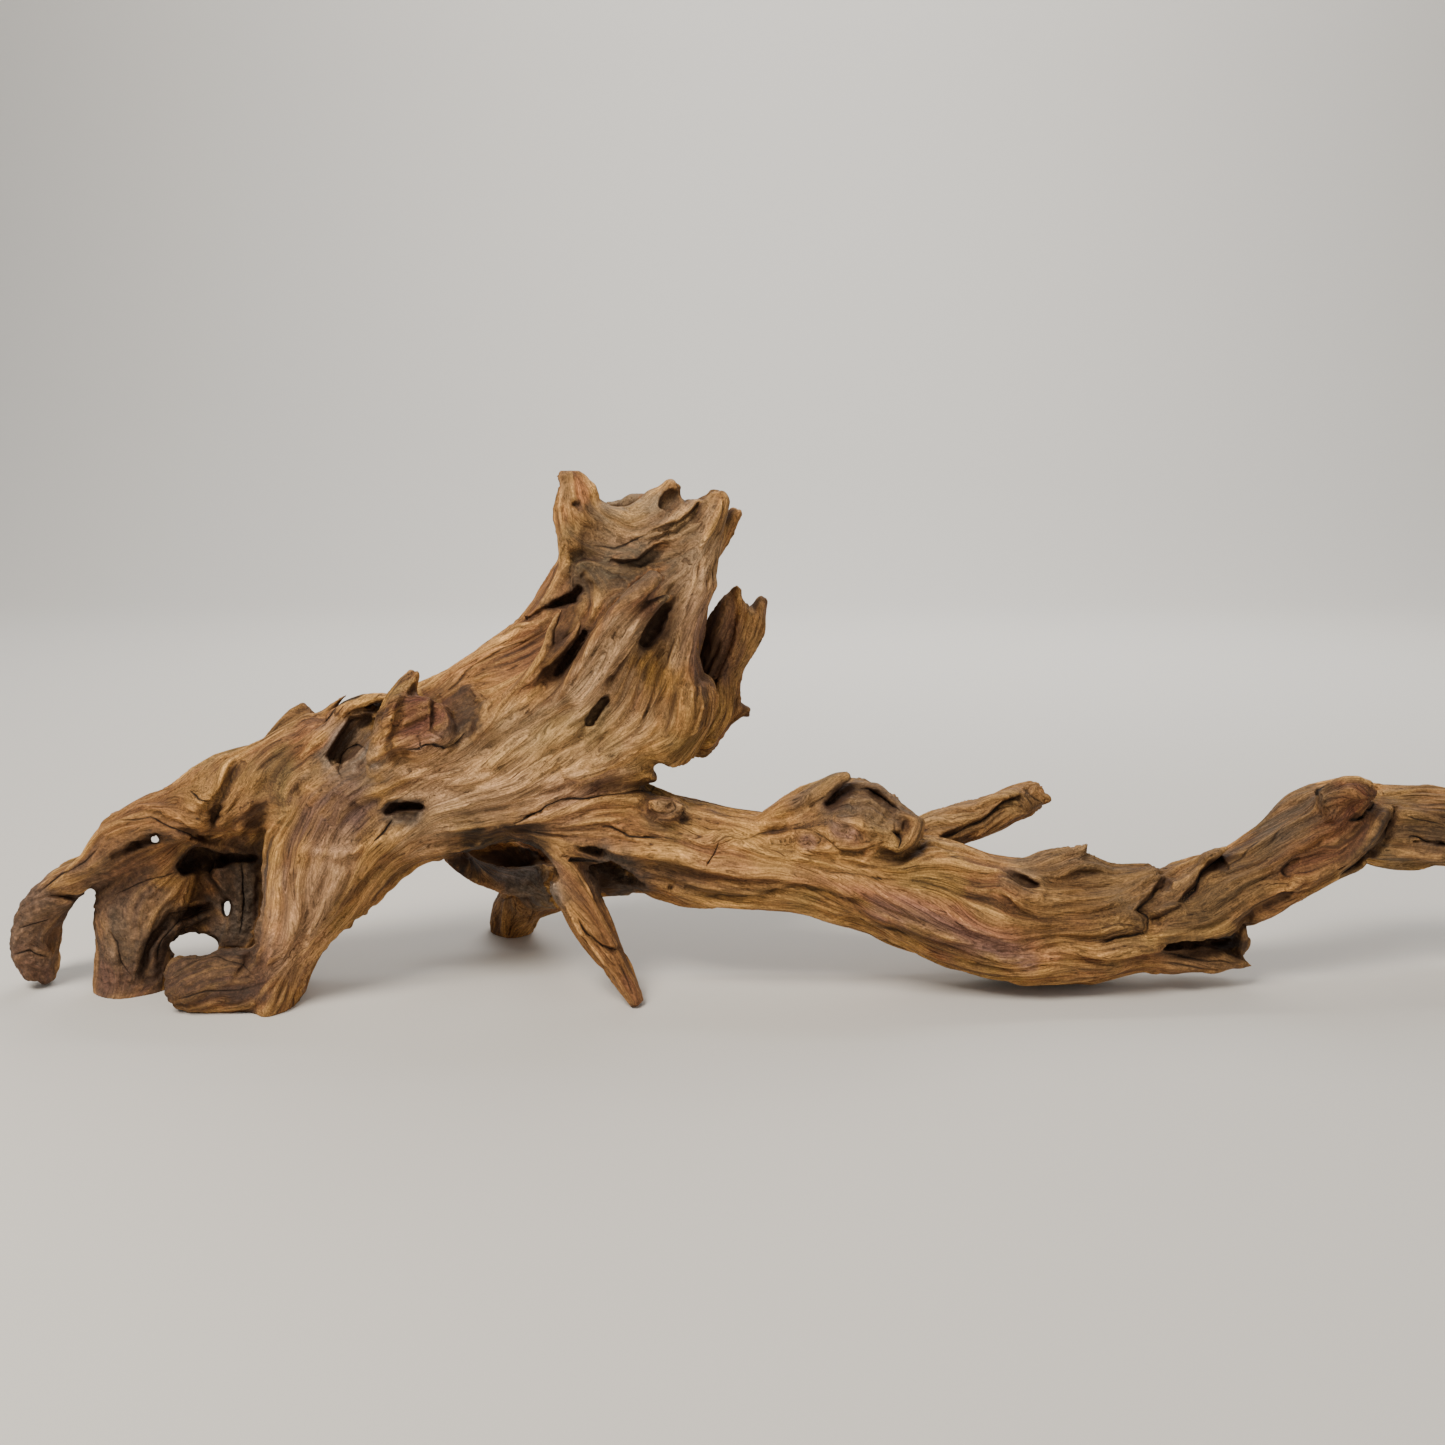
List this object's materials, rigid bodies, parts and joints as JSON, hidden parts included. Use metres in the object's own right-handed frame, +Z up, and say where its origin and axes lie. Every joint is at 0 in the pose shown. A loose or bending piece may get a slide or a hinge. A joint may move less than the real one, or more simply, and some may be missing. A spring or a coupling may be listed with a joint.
{
  "type": "driftwood",
  "caption": "Weathered driftwood root with a broken crown, a hollow foot, a peg and a long low limb, resting on its feet and belly.",
  "frame": {"origin": "the middle of the bounding box's bottom face, on the surface that the wood rests on", "axes": "+X runs along the long limb, from the hollow foot to the limb's end; +Z is up; the pictured face looks along -Y"},
  "size_m": [0.8531, 0.159, 0.2812],
  "materials": {
    "weathered_wood": "weathered root wood, deep flowing grain, brown with red, purple and ochre streaks, matte",
    "rotted_wood": "rotted grey-brown wood, dry and matte",
    "bleached_wood": "dry pale wood with long splits, matte"
  },
  "bodies": {
    "root": {"trunk": "weathered_wood", "root_arm": "weathered_wood", "root_leg": "weathered_wood", "peg": "weathered_wood", "back_leg": "rotted_wood", "back_shard": "rotted_wood", "long_limb": "weathered_wood", "straight_stub": "bleached_wood", "limb_end": "weathered_wood"}
  },
  "joints": []
}
